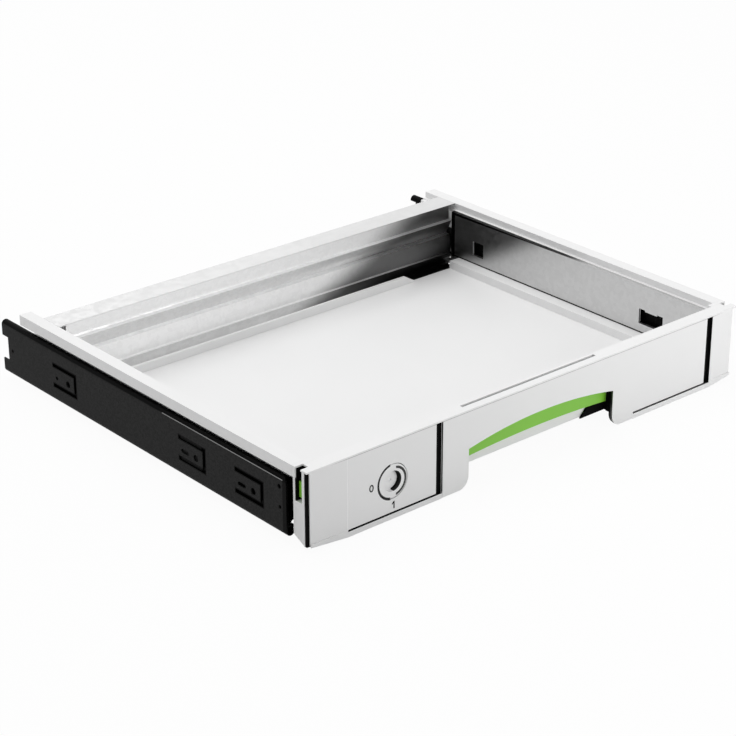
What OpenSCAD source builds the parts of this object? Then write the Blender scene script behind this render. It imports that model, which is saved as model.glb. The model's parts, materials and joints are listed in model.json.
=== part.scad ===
// Pull-out drawer case on two ball slides, with a sprung grip that draws two side latches
// and a round lock. Millimetres. X runs along the front, Y towards the back, Z up.
// The origin is at the centre of the underside. Places along the depth are measured from
// the front face and moved to the origin by from_front().

/* [Case] */
// Width over the two side rims
case_w = 440; // [420:1:500]
// Depth from the front face to the back edge of the rear wall
case_d = 339; // [320:1:380]
// Height over the rims
case_h = 62.5; // [61:0.5:75]
// Width of the top of a side rim
rim_w = 10.4; // [8:0.2:11]
// Depth of the top of the front rim
front_rim = 12; // [11.6:0.1:14]
// How far the side rims run on behind the rear wall
horn_len = 18; // [8:1:20]
// Wall of the moulded parts
wall = 2; // [1.4:0.1:2.4]
// Thickness of the top skin over the front covers
skin = 1.2; // [0.8:0.1:1.6]
// Height of the outer skirt of a side rim
skirt_h = 8.5; // [6:0.5:9]
// Thickness of the side rim's upright web, with its ribs
web_t = 4.8; // [3.6:0.2:6]

/* [Tray] */
// Top of the recessed floor
floor_z = 9; // [8:0.5:12]
// Thickness of the floor
floor_t = 2.5; // [2:0.1:3.5]
// How far the shelf stands above the recessed floor
shelf_step = 7; // [5:0.5:10]
// Width of the shelf along each side
shelf_side = 11.4; // [9:0.2:14]
// Depth of the shelf behind the front rim
shelf_front = 10; // [9:0.5:13]
// Distance from the rear wall's foot to the ridge
ridge_gap = 9; // [4:0.5:11]
// Thickness of the ridge at the back of the floor
ridge_t = 3; // [2:0.2:5]
// Distance from the right end of the ridge to the side of the recess
ridge_inset = 54.6; // [40:0.2:80]
// Length of the ramp at the right end of the ridge
ridge_ramp = 12; // [6:1:20]
// Ribs under the floor along the depth
rib_count = 7; // [5:2:9]

/* [Side plates] */
// Thickness of the steel of the side plates and the rear wall
plate_t = 1; // [0.8:0.1:1.4]
// How far the top of the side plates lies under the rims
plate_drop = 5.5; // [4:0.5:8]
// Width of the plate's top flange
plate_flange = 3.5; // [2:0.5:5]
// Height of the two windows
window_h = 13; // [10:0.5:15]
// How far the middle of the windows lies above the middle of the slides
window_up = 2.6; // [1:0.2:4]
// Length of the front window
window_front_len = 26; // [18:1:30]
// Length of the rear window
window_rear_len = 14; // [10:1:18]
// Middle of the front window behind the front face
window_front_y = 74.5; // [60:0.5:110]
// Middle of the rear window behind the front face
window_rear_y = 280.5; // [250:0.5:285]

/* [Rear wall] */
// Depth of the rear wall's top flange
rear_flange = 21.5; // [16:0.5:26]
// Height of the upper band
rear_band_top = 13; // [11:0.5:14]
// Height of the middle band
rear_band_mid = 13.5; // [12:0.5:16]
// Height of the lower band
rear_band_low = 16.5; // [14:0.5:18]
// Depth of the upper ledge; the two others follow it
rear_ledge = 3; // [2:0.1:3.2]
// How far the middle band leans back
rear_lean = 6.5; // [4:0.5:7]

/* [Front] */
// Thickness of the front covers
cover_t = 2; // [1.6:0.1:2.2]
// Thickness of the carrier plate behind the covers
carrier_t = 1.8; // [1.4:0.1:2]
// Width of the two upright grooves between the covers
groove_w = 6.4; // [4:0.2:9]
// Share of the width that the label cover takes
label_share = 0.1864; // [0.14:0.0004:0.19]
// Width of the right end cap
end_cap_w = 24.8; // [18:0.2:32]
// How far the end caps lie in from the side rims
cap_inset = 3.5; // [2:0.1:5]
// How far the label cover lies in from the outer edge of the left end cap
label_inset = 33.1; // [20:0.1:40]
// How far the end caps recede at their outer edge
facet_back = 1.2; // [0.4:0.1:1.4]
// Height of the bottom lip
lip_h = 4.3; // [3:0.1:5]
// Thickness of the bottom lip
lip_t = 1; // [0.8:0.1:1.4]
// Height of the dark gap between the lip and the covers
shadow_gap = 1.5; // [0.6:0.1:2]
// Where the main cover's bottom gap starts, from the side of the grip cut-out
lip_beside_grip = 23.5; // [14:0.5:30]
// Length of the card slot in the front rim
card_slot_len = 137; // [80:1:160]
// Width of the card slot
card_slot_w = 3; // [1:0.1:3.4]
// How far the card slot lies behind the front face
card_slot_y = 6.5; // [5:0.1:6.6]
// Middle of the card slot, to the right of the middle
card_slot_x = -2; // [-8:0.5:8]

/* [Grip] */
// Share of the width that the grip cut-out takes
grip_share = 0.341; // [0.28:0.001:0.345]
// Middle of the grip cut-out, to the right of the middle
grip_x = 5.5; // [-10:0.5:12]
// How far the top of the cut-out lies under the top of the rim
grip_drop = 23.7; // [22.6:0.1:26]
// Radius of the arched top edge
grip_arc_r = 370; // [330:10:500]
// Radius of the corners at the foot of the cut-out
grip_foot_r = 10; // [6:0.5:11]
// Height of the grip in its middle, down from the top of the cut-out
grip_h = 15.6; // [14:0.2:17]
// Radius of the grip's lower edge
grip_low_r = 960; // [800:10:1200]
// Swing of the grip in degrees
grip_swing = 11; // [8:0.5:11]
// Diameter of the pivot rod
rod_d = 3; // [2.4:0.1:3.2]

/* [Latches and lock] */
// Height of a latch bar
latch_h = 12; // [9:0.5:12.5]
// Thickness of a latch bar
latch_t = 2.8; // [2.2:0.1:3]
// How far the latch tip stands into its channel
latch_out = 3.5; // [2:0.1:4.5]
// Depth of the latch channel in the corner
channel_deep = 6; // [5:0.1:7]
// Width of the latch channel
channel_w = 6; // [5.9:0.1:6.4]
// Height of the latch channel
channel_h = 26.5; // [25.8:0.1:30]
// Thickness of the black liner in the latch channel
liner_t = 1; // [0.8:0.1:1.2]
// Radius of the lock's face
lock_r = 13.2; // [11:0.1:14]
// Radius of the pocket in the lock's face
lock_pocket_r = 8; // [6:0.1:9]
// Width of the ring gap round the lock's face
lock_gap = 0.6; // [0.3:0.1:0.8]
// How far the middle of the lock lies under the top of the rim
lock_drop = 32.6; // [32:0.1:34]
// How far the lock's cam reaches below the underside when it is turned down
cam_reach = 4; // [2:0.5:6]

/* [Ball slides] */
// Height of a slide
slide_h = 45; // [44.6:0.1:45.8]
// Thickness of a slide from the cabinet to the drawer
slide_t = 12.7; // [12.5:0.1:13.5]
// Length of the cabinet members
slide_len = 362; // [340:1:390]
// Length of the two moving members
member_len = 344; // [320:1:344]
// Steel thickness of the slide members
slide_steel = 1.2; // [1:0.05:1.3]
// Diameter of the balls
ball_d = 4.76; // [4.4:0.02:4.8]
// Balls in each row of a cage
ball_count = 9; // [5:1:11]
// Front end of the slides behind the front face
slide_front = 20.5; // [19:0.5:30]
// How far the middle of the slides lies under half the height of the case
slide_low = 3.45; // [2.9:0.05:3.9]
// How far the slides stand out past the side rims
slide_proud = 1.7; // [0.5:0.1:3]
// Radius of the mounting holes in the cabinet members
mount_hole_r = 2.75; // [2:0.05:3]
// Length of the ball cages
cage_len = 140; // [110:2:150]

/* [Clearances] */
// Between flat faces that seat on each other
seat = 0.1; // [0.05:0.05:0.15]
// Around pieces that slide or plug in
slip = 0.3; // [0.2:0.05:0.35]
// Radial clearance of the pivot rod in the grip
run = 0.05; // [0.02:0.01:0.1]
// Radial clearance of the balls in their races
race_gap = 0.1; // [0.08:0.01:0.15]

/* [Hidden] */
$fn = 48;

// colours as photographed
white = [0.91, 0.91, 0.91];
black = [0.09, 0.09, 0.09];
steel_black = [0.16, 0.16, 0.16];
galvanised = [0.74, 0.75, 0.76];
bright = [0.8, 0.8, 0.8];
green = [0.45, 0.74, 0.22];

// overall depth runs from the covers to the rear ends of the cabinet members
slide_back = slide_front + slide_len;
overall_d = slide_back;
eps = 0.02;
far = 2000;

// across the width, from the outside in
rim_x = case_w / 2;
slide_x = rim_x + slide_proud;
web_out_x = slide_x - slide_t - seat;
web_in_x = web_out_x - web_t;
plate_x = web_in_x - seat - plate_t;
recess_x = plate_x - shelf_side;
cap_x = rim_x - cap_inset;
block_x = rim_x - 1;
channel_x = block_x - channel_deep;

// up and down
plate_top = case_h - plate_drop;
shelf_z = floor_z + shelf_step;
flange_z = shelf_z - floor_t - seat;
cover_top = case_h - skin - seat;
cover_low = lip_h + shadow_gap;
slide_z = case_h / 2 - slide_low;
window_z = slide_z + window_up;
lock_z = case_h - lock_drop;
grip_top = case_h - grip_drop;
grip_low = grip_top - grip_h;
latch_z = case_h - 24;

// along the depth
carrier_y = cover_t;
carrier_back = carrier_y + carrier_t;
inner_wall_y = front_rim - 1.5;
block_back = front_rim + 4;
recess_y = front_rim + shelf_front;
rear_face_y = case_d - rear_flange;
rear_foot_y = rear_face_y + rear_lean - 3.5 * rear_ledge;
ridge_y = rear_foot_y - ridge_gap - ridge_t;
horn_y = case_d + horn_len;
plate_end_y = rear_face_y - 2.5;
post_y = rear_face_y - rear_ledge + rear_lean + 1.6 * plate_t + slip;
post_len = 12;

// front panels, from left to right
label_x = -cap_x + label_inset;
label_w = case_w * label_share;
groove1_x = label_x + label_w;
main_x = groove1_x + groove_w;
groove2_x = cap_x - end_cap_w - groove_w;
grip_w = case_w * grip_share;
lip_start_x = grip_x + grip_w / 2 + lip_beside_grip;
lock_x = label_x + label_w / 2;
ridge_end_x = recess_x - ridge_inset;

// grip and linkage
rod_r = rod_d / 2;
hub_r = rod_r + 1.5;
pivot_y = carrier_back + slip + 0.2 + hub_r;
pivot_z = case_h - skin - 4.3 - hub_r;
bar_front = carrier_back + 3.2;
arm_y = pivot_y + 1;
arm_t = 1.7;
pin_r = 1.2;
pin_z = latch_z - 1.3;
pin_lever = pivot_z - pin_z;
pin_y = arm_y + arm_t / 2;
pin_travel = pin_lever * sin(grip_swing) + (pin_y - pivot_y) * (1 - cos(grip_swing));
pin_dx = grip_w / 2 + 7.5;
hub_end = pin_dx + 3.3;
bearing_dx = hub_end + 0.7;
bearing_t = 4;
spring_dx = grip_w * 0.27;
spring_w = 10;
spring_t = 0.4;
latch_y = carrier_back + 3;
latch_start = pin_dx + 7;
cam_plate_t = 2;
tip_len = 9;
tip_y = latch_y + 5.6;
channel_front = carrier_back + 2.7;
channel_back = channel_front + channel_w + 0.2;
cam_y = carrier_back + 0.7;
cam_t = 1.5;
cam_w = 6;
cam_len = lock_z + cam_reach;

// slide section: u runs in from the outer face, v up from the middle
ball_r = ball_d / 2;
race_r = ball_r + race_gap;
lip_r = race_r + slide_steel;
row1_u = lip_r;
row1_v = slide_h / 2 - lip_r;
row_step = race_r + lip_r;
row_angle = 50;
row2_u = row1_u + row_step * cos(row_angle);
row2_v = row1_v - row_step * sin(row_angle);
cage_t = 0.4;
mid_web_u = slide_steel + 0.7;
member_front = slide_front + 1.5;
cage_front = slide_front + 98.5;
ball_pitch = (cage_len - 12) / (ball_count - 1);
drawer_flange_v = row2_v - lip_r;
bumper_len = 4;
bumper_y = member_front + member_len + slip;
notch_deep = 8;
notch_v = 10;
tongue_len = 32;
tongue_h = 20;
tongue_slot = 3;
tongue_front = [25.5, 92.5, 257.5];
hole_v = -1.6;
slide_screw_y = [34, 170, 318];
tray_screw_y = [40, 150, 255];

// moves what is measured from the front face to the origin
module from_front() {
  translate([0, -overall_d / 2, 0]) children();
}

// builds for the right side and mirrors it for the left one
module on_side(side) {
  from_front()
    if (side > 0) children();
    else mirror([1, 0, 0]) children();
}

// runs a section, drawn in X and Z, along the depth
module along_y(y, len) {
  translate([0, y + len, 0]) rotate([90, 0, 0]) linear_extrude(height = len) children();
}

// runs a section, drawn in Y and Z, along the width
module along_x(x, len) {
  translate([x, 0, 0]) rotate([90, 0, 90]) linear_extrude(height = len) children();
}

// box between two corners
module box(a, b) {
  translate(a) cube(b - a);
}

// round bar along each axis
module bar_x(x, y, z, r, len) {
  translate([x, y, z]) rotate([0, 90, 0]) cylinder(r = r, h = len);
}
module bar_y(x, y, z, r, len) {
  translate([x, y, z]) rotate([-90, 0, 0]) cylinder(r = r, h = len);
}
module bar_z(x, y, z, r, len) {
  translate([x, y, z]) cylinder(r = r, h = len);
}

// slide section: part of a ball race between two angles
module race(u, v, from, to) {
  intersection() {
    translate([u, v]) difference() {
      circle(r = lip_r);
      circle(r = race_r);
    }
    translate([u, v]) polygon(concat([[0, 0]],
      [for (i = [0:6]) 2 * lip_r * [cos(from + i * (to - from) / 6), sin(from + i * (to - from) / 6)]]));
  }
}

// draws both halves of a slide section, from the outer face inwards
module slide_section() {
  translate([slide_x, slide_z]) mirror([1, 0]) {
    children();
    mirror([0, 1]) children();
  }
}

module cabinet_half() {
  square([slide_steel, row1_v]);
  race(row1_u, row1_v, -12, 192);
}

module middle_half() {
  difference() {
    translate([mid_web_u, 0]) square([slide_steel, row1_v - race_r + 0.6]);
    translate([row1_u, row1_v]) circle(r = race_r);
  }
  race(row1_u, row1_v, 250, 330);
  race(row2_u, row2_v, 62, 150);
}

module drawer_half() {
  translate([slide_t - slide_steel, 0]) square([slide_steel, drawer_flange_v + slide_steel]);
  translate([row2_u + 1, drawer_flange_v]) square([slide_t - row2_u - 1, slide_steel]);
  race(row2_u, row2_v, 205, 310);
}

// places a hole through a slide member's web, v from the slide's middle
module web_hole(y, v, r) {
  bar_x(slide_x - slide_t - 1, y, slide_z + v, r, slide_t + 2);
}

// U-shaped slot that frees a mounting tongue, closed at its rear end
module tongue(y) {
  for (s = [-1, 1])
    translate([slide_x - slide_steel - 1, y, slide_z + s * (tongue_h - tongue_slot) / 2 - tongue_slot / 2])
      cube([slide_steel + 2, tongue_len, tongue_slot]);
  translate([slide_x - slide_steel - 1, y, slide_z - tongue_h / 2])
    cube([slide_steel + 2, tongue_slot, tongue_h]);
}

module cabinet_member(side) {
  color(steel_black) on_side(side) difference() {
    along_y(slide_front, slide_len) slide_section() cabinet_half();
    // the rear web is cut back between two hooks
    box([slide_x - slide_steel - 1, slide_back - notch_deep, slide_z - notch_v],
        [slide_x + 1, slide_back + 1, slide_z + notch_v]);
    for (i = [0:2]) tongue(slide_front + tongue_front[i]);
    for (i = [0:2]) bar_x(slide_x - 3, slide_front + tongue_front[i] + 11.5, slide_z + hole_v,
                          mount_hole_r, 4);
    bar_x(slide_x - 3, slide_front + tongue_front[2] + 27, slide_z + hole_v, 1.6, 4);
    for (i = [0:1]) for (end = [0, 1])
      bar_x(slide_x - 3, slide_front + tongue_front[i] + 21.5 + end * 6, slide_z + hole_v, 1.6, 4);
    for (i = [0:1]) box([slide_x - 3, slide_front + tongue_front[i] + 21.5, slide_z + hole_v - 1.6],
                        [slide_x + 1, slide_front + tongue_front[i] + 27.5, slide_z + hole_v + 1.6]);
    bar_x(slide_x - 3, slide_front + 7, slide_z + hole_v, 1.5, 4);
    bar_x(slide_x - 3, slide_front + 7.5, slide_z + 14.2, 1.8, 4);
    bar_x(slide_x - 3, bumper_y + bumper_len / 2, slide_z, 1.6, 4);
    // the upper front corner is rounded off
    translate([0, slide_front, slide_z + slide_h / 2]) corner_cut(5);
  }
}

// takes a rounded corner off the front upper end of a slide member
module corner_cut(r) {
  translate([slide_x - slide_t - 1, 0, 0]) difference() {
    translate([0, -1, -r]) cube([slide_t + 2, r + 1, r + 1]);
    bar_x(-1, r, -r, r, slide_t + 4);
  }
}

module closing_bumpers() {
  color(black) for (side = [-1, 1]) on_side(side) {
    box([slide_x - slide_t + 1.5, bumper_y, slide_z - 6],
        [slide_x - slide_steel - seat, bumper_y + bumper_len, slide_z + 6]);
    bar_x(slide_x - slide_steel - 0.5, bumper_y + bumper_len / 2, slide_z, 1.5, slide_steel + 0.3);
  }
}

module middle_member(side) {
  color(steel_black) on_side(side) difference() {
    along_y(member_front, member_len) slide_section() middle_half();
    for (y = [20, member_len / 2, member_len - 20]) web_hole(member_front + y, 0, 3);
  }
}

module drawer_member(side) {
  color(steel_black) on_side(side) difference() {
    along_y(member_front, member_len) slide_section() drawer_half();
    for (y = slide_screw_y) web_hole(slide_front + y, 0, 1.75 + slip);
  }
}

// ball rows of one cage, above and below the middle
module ball_rows(u, v, r) {
  for (s = [-1, 1]) for (i = [0:ball_count - 1])
    translate([slide_x - u, cage_front + 6 + i * ball_pitch, slide_z + s * v]) sphere(r = r, $fn = 24);
}

// cage: a thin strip whose edges turn in to the balls at offset dv from their middles
module cage(u_web, u, v, dv) {
  difference() {
    for (s = [-1, 1]) {
      box([slide_x - u_web - cage_t, cage_front, slide_z - v - dv],
          [slide_x - u_web, cage_front + cage_len, slide_z + v + dv]);
      box([slide_x - u - ball_r + 0.1, cage_front, slide_z + s * (v + dv) - cage_t / 2],
          [slide_x - u_web, cage_front + cage_len, slide_z + s * (v + dv) + cage_t / 2]);
    }
    for (s = [-1, 1]) for (i = [0:ball_count - 1])
      bar_z(slide_x - u, cage_front + 6 + i * ball_pitch, slide_z + s * v - ball_r,
            sqrt(ball_r * ball_r - dv * dv) + 0.08, 2 * ball_r);
    for (i = [0:2]) bar_x(slide_x - u_web - 1, cage_front + cage_len * (0.2 + 0.3 * i), slide_z, 4, 2);
  }
}

module outer_cage(side) {
  color(bright) on_side(side) cage(slide_steel + 0.15, row1_u, row1_v, -1);
}

module outer_balls(side) {
  color(bright) on_side(side) ball_rows(row1_u, row1_v, ball_r);
}

module inner_cage(side) {
  color(bright) on_side(side) cage(mid_web_u + slide_steel + 0.3, row2_u, row2_v, 0);
}

module inner_balls(side) {
  color(bright) on_side(side) ball_rows(row2_u, row2_v, ball_r);
}

// the screws that hold the drawer members to the side rims
module slide_screws() {
  color(bright) for (side = [-1, 1]) on_side(side) for (y = slide_screw_y) {
    bar_x(slide_x - slide_t + slide_steel + seat, slide_front + y, slide_z, 3.4, 1.8);
    bar_x(web_in_x + 0.8, slide_front + y, slide_z, 1.75, slide_x - slide_t + 1.8 - web_in_x);
  }
}

// tray: recessed floor, shelf on three sides, ridge at the back and ribs below
module tray() {
  edge_x = plate_x - slip / 2;
  back_y = ridge_y + ridge_t;
  rib_end_y = ridge_y - 12;
  color(white) from_front() difference() {
    union() {
      // floor
      box([-recess_x - wall, recess_y - wall, floor_z - floor_t],
          [recess_x + wall, back_y, floor_z]);
      // walls of the recess and the shelves
      for (s = [0, 1]) mirror([s, 0, 0]) {
        box([recess_x, recess_y - wall, floor_z - floor_t], [recess_x + wall, back_y, shelf_z]);
        box([recess_x, front_rim + seat, shelf_z - floor_t], [edge_x, back_y, shelf_z]);
      }
      box([-recess_x - wall, recess_y - wall, floor_z - floor_t],
          [recess_x + wall, recess_y, shelf_z]);
      box([-edge_x, front_rim + seat, shelf_z - floor_t], [edge_x, recess_y, shelf_z]);
      // ridge from the left shelf to a ramp at its right end
      along_y(ridge_y, ridge_t) polygon([
        [-recess_x - wall / 2, floor_z - eps], [-recess_x - wall / 2, shelf_z],
        [ridge_end_x, shelf_z], [ridge_end_x + ridge_ramp, floor_z - eps]]);
      // ribs below the floor
      for (i = [0:rib_count - 1]) {
        x = -recess_x + i * 2 * recess_x / (rib_count - 1);
        box([x - wall / 2, recess_y + 22, 0], [x + wall / 2, rib_end_y, floor_z - floor_t + eps]);
      }
      for (y = [recess_y + 22, (recess_y + 22 + rib_end_y - wall) / 2, rib_end_y - wall])
        box([-recess_x, y, 0], [recess_x, y + wall, floor_z - floor_t + eps]);
    }
    for (s = [-1, 1]) for (y = tray_screw_y)
      bar_z(s * tray_screw_x(), slide_front + y, shelf_z - floor_t - 1, 1.45, floor_t + 0.4);
  }
}

function tray_screw_x() = recess_x + wall + (shelf_side - wall) / 2;

module tray_screws() {
  color(bright) from_front() for (s = [-1, 1]) for (y = tray_screw_y) {
    bar_z(s * tray_screw_x(), slide_front + y, flange_z - plate_t - seat - 1.6, 3, 1.6);
    bar_z(s * tray_screw_x(), slide_front + y, flange_z - plate_t - seat - eps, 1.4,
          plate_t + floor_t - 0.4);
  }
}

// side plate: upright with the top edge turned out and the foot turned in under the tray
module side_plate(side) {
  y0 = front_rim + seat;
  color(galvanised) on_side(side) {
    difference() {
      along_y(y0, plate_end_y - y0) polygon([
        [plate_x, flange_z], [plate_x, plate_top], [plate_x + plate_flange, plate_top],
        [plate_x + plate_flange, plate_top - plate_t], [plate_x + plate_t, plate_top - plate_t],
        [plate_x + plate_t, flange_z - plate_t], [recess_x + wall + slip, flange_z - plate_t],
        [recess_x + wall + slip, flange_z]]);
      plate_window(window_front_y, window_front_len, 0);
      plate_window(window_rear_y, window_rear_len, 0);
      for (y = tray_screw_y)
        bar_z(tray_screw_x(), slide_front + y, flange_z - plate_t - 1, 1.6, plate_t + 2);
    }
    // hook tabs turned out at the foot of each window
    for (w = [[window_front_y, window_front_len], [window_rear_y, window_rear_len]])
      box([plate_x + plate_t - eps, w[0] - w[1] / 2 + 1, window_z - window_h / 2 - plate_t],
          [web_in_x + wall - 0.2, w[0] + w[1] / 2 - 1, window_z - window_h / 2]);
    // short tongue left in the top of the front window
    box([plate_x, window_front_y - window_front_len / 4, window_z + window_h / 2 - 1.2],
        [plate_x + plate_t, window_front_y + window_front_len / 4, window_z + window_h / 2 + eps]);
  }
}

// window through the plate, or through the rim's web with some room round it
module plate_window(y, len, grow) {
  box([plate_x - 1, y - len / 2 - grow, window_z - window_h / 2 - grow],
      [web_out_x + 1, y + len / 2 + grow, window_z + window_h / 2 + grow]);
}

// side rim: cap over the slide, outer skirt, upright web with ribs and the rear corner post
module rim(side) {
  y0 = block_back + seat;
  cap_in = rim_x - rim_w;
  web_low = flange_z - plate_t + 0.6;
  color(white) on_side(side) difference() {
    union() {
      along_y(y0, horn_y - y0) {
        // cap and skirt
        translate([cap_in, case_h - wall]) square([rim_w, wall]);
        translate([rim_x - wall, case_h - skirt_h]) square([wall, skirt_h]);
        // step down to the web beside the plate's flange
        translate([cap_in, plate_top - wall]) square([wall, plate_drop + wall]);
        translate([plate_x + plate_flange + 0.5, plate_top - wall])
          square([cap_in - plate_x - plate_flange, wall]);
        // web with its ribs
        translate([web_in_x, web_low]) square([wall, plate_top - plate_t - seat - web_low]);
        for (z = [web_low, window_z - 12, window_z + 11, plate_top - plate_t - seat - wall])
          translate([web_in_x, z]) square([web_t, wall]);
      }
      for (y = slide_screw_y) bar_x(web_in_x, slide_front + y, slide_z, 4.5, web_t);
      // solid front end for the corner screws
      box([web_in_x, y0, web_low], [web_out_x, y0 + 14, window_z + 3]);
      // corner post behind the rear wall's end
      box([rear_post_x(), post_y, web_low], [web_in_x + eps, post_y + post_len, plate_top + 3]);
    }
    plate_window(window_front_y, window_front_len, 1);
    plate_window(window_rear_y, window_rear_len, 1);
    for (y = slide_screw_y) bar_x(web_in_x + 0.5, slide_front + y, slide_z, 1.75 + seat, web_t);
    for (z = corner_screw_z()) bar_y(corner_screw_x(), y0 - 1, z, 1.25 + seat, 13);
    for (z = rear_screw_z()) bar_x(rear_post_x() - 1, rear_screw_y(), z, 1.25 + seat, 4);
  }
}

function rear_post_x() = web_in_x - 3.2;
function rear_screw_y() = post_y + post_len - 4.5;
function rear_screw_z() = [24, 44];
function corner_screw_x() = (web_in_x + web_out_x) / 2;
function corner_screw_z() = [21.5, 30.5];

// rear wall: one sheet with three ledges, a top flange and a foot under the tray
module rear_wall() {
  end_x = rear_post_x() - seat;
  flange_x = rim_x - rim_w - seat;
  sheet_x = plate_x - 0.6;
  z1 = case_h - rear_band_top;
  z2 = z1 - rear_band_mid;
  z3 = z2 - rear_band_low;
  y1 = rear_face_y - rear_ledge;
  y2 = y1 + rear_lean;
  y3 = y2 - 1.5 * rear_ledge;
  y4 = y3 - rear_ledge / 3;
  y5 = rear_foot_y;
  foot_z = floor_z - floor_t - seat;
  hem = 0.8;
  end_y = post_y + post_len;
  bands = [[rear_face_y + hem, z1], [y1, z1 - 0.5], [y2, z2], [y3, z2 - 0.5], [y4, z3]];
  face = concat([[rear_face_y, case_h], [rear_face_y, case_h - 2], [rear_face_y + hem, case_h - 2.4]],
    bands, [[y5, z3 - 0.5], [y5 + 4, floor_z], [y5 + 4, foot_z], [y5 - 14, foot_z]]);
  color(galvanised) from_front() {
    along_x(-sheet_x, 2 * sheet_x) strip(face, plate_t);
    // top flange with its turned-down back edge
    box([-flange_x, rear_face_y, case_h - plate_t], [flange_x, case_d, case_h]);
    box([-flange_x, case_d - plate_t, plate_top + seat], [flange_x, case_d, case_h]);
    // end flanges against the corner posts
    for (s = [0, 1]) mirror([s, 0, 0]) difference() {
      along_x(end_x - plate_t, plate_t) polygon(concat(
        [[rear_face_y + hem + 0.4, case_h - 3.5]], [for (p = bands) p + [0.4, -0.4]],
        [[end_y, z3 - 0.4], [end_y, case_h - 3.5]]));
      for (z = rear_screw_z()) bar_x(end_x - 2, rear_screw_y(), z, 1.5, 4);
    }
  }
}

// direction at right angles to the way from a to b, towards the back of the sheet
function backwards(a, b) = [a[1] - b[1], b[0] - a[0]] / norm(b - a);
// point of the sheet's back face behind point i, so that each band has the same thickness
function behind(points, i, t) = let (n = len(points),
  m = backwards(points[max(i - 1, 0)], points[max(i, 1)]),
  k = backwards(points[min(i, n - 2)], points[min(i + 1, n - 1)])) points[i] + t * (m + k) / (1 + m * k);

// sheet of thickness t behind a bent line of points
module strip(points, t) {
  polygon(concat(points, [for (i = [len(points) - 1:-1:0]) behind(points, i, t)]));
}

module rear_wall_screws() {
  color(bright) for (side = [-1, 1]) on_side(side) for (z = rear_screw_z()) {
    bar_x(rear_post_x() - plate_t - 2 * seat - 1.6, rear_screw_y(), z, 2.6, 1.6);
    bar_x(rear_post_x() - plate_t - 2 * seat - eps, rear_screw_y(), z, 1.25, plate_t + 3);
  }
}

// outline of the grip cut-out, drawn in X and Z, open at the bottom
module grip_outline(foot_r) {
  translate([grip_x, 0]) {
    intersection() {
      translate([0, grip_top - grip_arc_r]) circle(r = grip_arc_r, $fn = 360);
      translate([-grip_w / 2, -5]) square([grip_w, grip_top + 5]);
    }
    for (s = [0, 1]) mirror([s, 0]) translate([grip_w / 2 - eps, -5]) difference() {
      square([foot_r, foot_r + 5]);
      translate([foot_r, foot_r + 5]) circle(r = foot_r);
    }
  }
}

// outline of the whole front behind the covers
module front_outline(x, low) {
  difference() {
    translate([-x, low]) square([2 * x, cover_top - low]);
    grip_outline(grip_foot_r + 1);
  }
}

// front frame: top rim, inner wall, bottom lip, corner blocks and guides for the latch bars
module front_frame() {
  guide_low = latch_z - slip;
  guide_top = latch_z + latch_h + slip;
  color(white) from_front() difference() {
    union() {
      // top rim and its skin over the covers
      box([-rim_x, 0, case_h - skin], [rim_x, front_rim, case_h]);
      // inner wall down to the tray
      box([-plate_x + slip, inner_wall_y, shelf_z - floor_t], [plate_x - slip, front_rim, case_h - eps]);
      // bottom lip to the left and right of the grip
      box([-cap_x, 0, 0], [main_x - slip, lip_t, lip_h]);
      box([lip_start_x, 0, 0], [cap_x, lip_t, lip_h]);
      for (x = [[-plate_x, main_x - slip], [lip_start_x, plate_x]]) {
        box([x[0], 0, 0], [x[1], recess_y - wall - seat, 1.4]);
        box([x[0], inner_wall_y, 0], [x[1], front_rim, shelf_z]);
      }
      // guides for the latch bars
      for (s = [0, 1]) mirror([s, 0, 0]) for (x = [channel_x - 95, channel_x - 41])
        box([x, carrier_back + seat, guide_low - 2], [x + wall, front_rim, guide_top + 2]);
    }
    // card slot in the top
    box([card_slot_x - card_slot_len / 2, card_slot_y, case_h - skin - 1],
        [card_slot_x + card_slot_len / 2, card_slot_y + card_slot_w, case_h + 1]);
    // slot in the bottom for the lock's cam
    box([lock_x - 21, cam_y - 0.5, -1], [lock_x + cam_w / 2 + 1, cam_y + cam_t + 0.5, 2.4]);
    for (s = [0, 1]) mirror([s, 0, 0]) {
      latch_channel();
      // ways for the latch bar
      box([channel_x - 113, latch_y - slip, guide_low],
          [channel_x, latch_y + latch_t + slip, guide_top]);
    }
  }
}

// channel in the corner, open upwards and outwards
module latch_channel() {
  box([channel_x, channel_front, case_h - channel_h], [rim_x + 1, channel_front + channel_w, case_h + 1]);
}

// black liner on the inner and the rear wall of the channel, with a window for the latch
module channel_liner(side) {
  low = case_h - channel_h + seat;
  top = cover_top - seat;
  color(black) on_side(side) difference() {
    union() {
      box([channel_x - liner_t, channel_front + seat, low], [channel_x, channel_back + eps, top]);
      box([channel_x - liner_t, channel_back, low], [block_x - seat, channel_back + liner_t, top]);
    }
    box([channel_x - liner_t - 1, channel_front - 1, latch_z - slip],
        [channel_x + 1, channel_back, latch_z + latch_h + slip]);
  }
}

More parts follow.
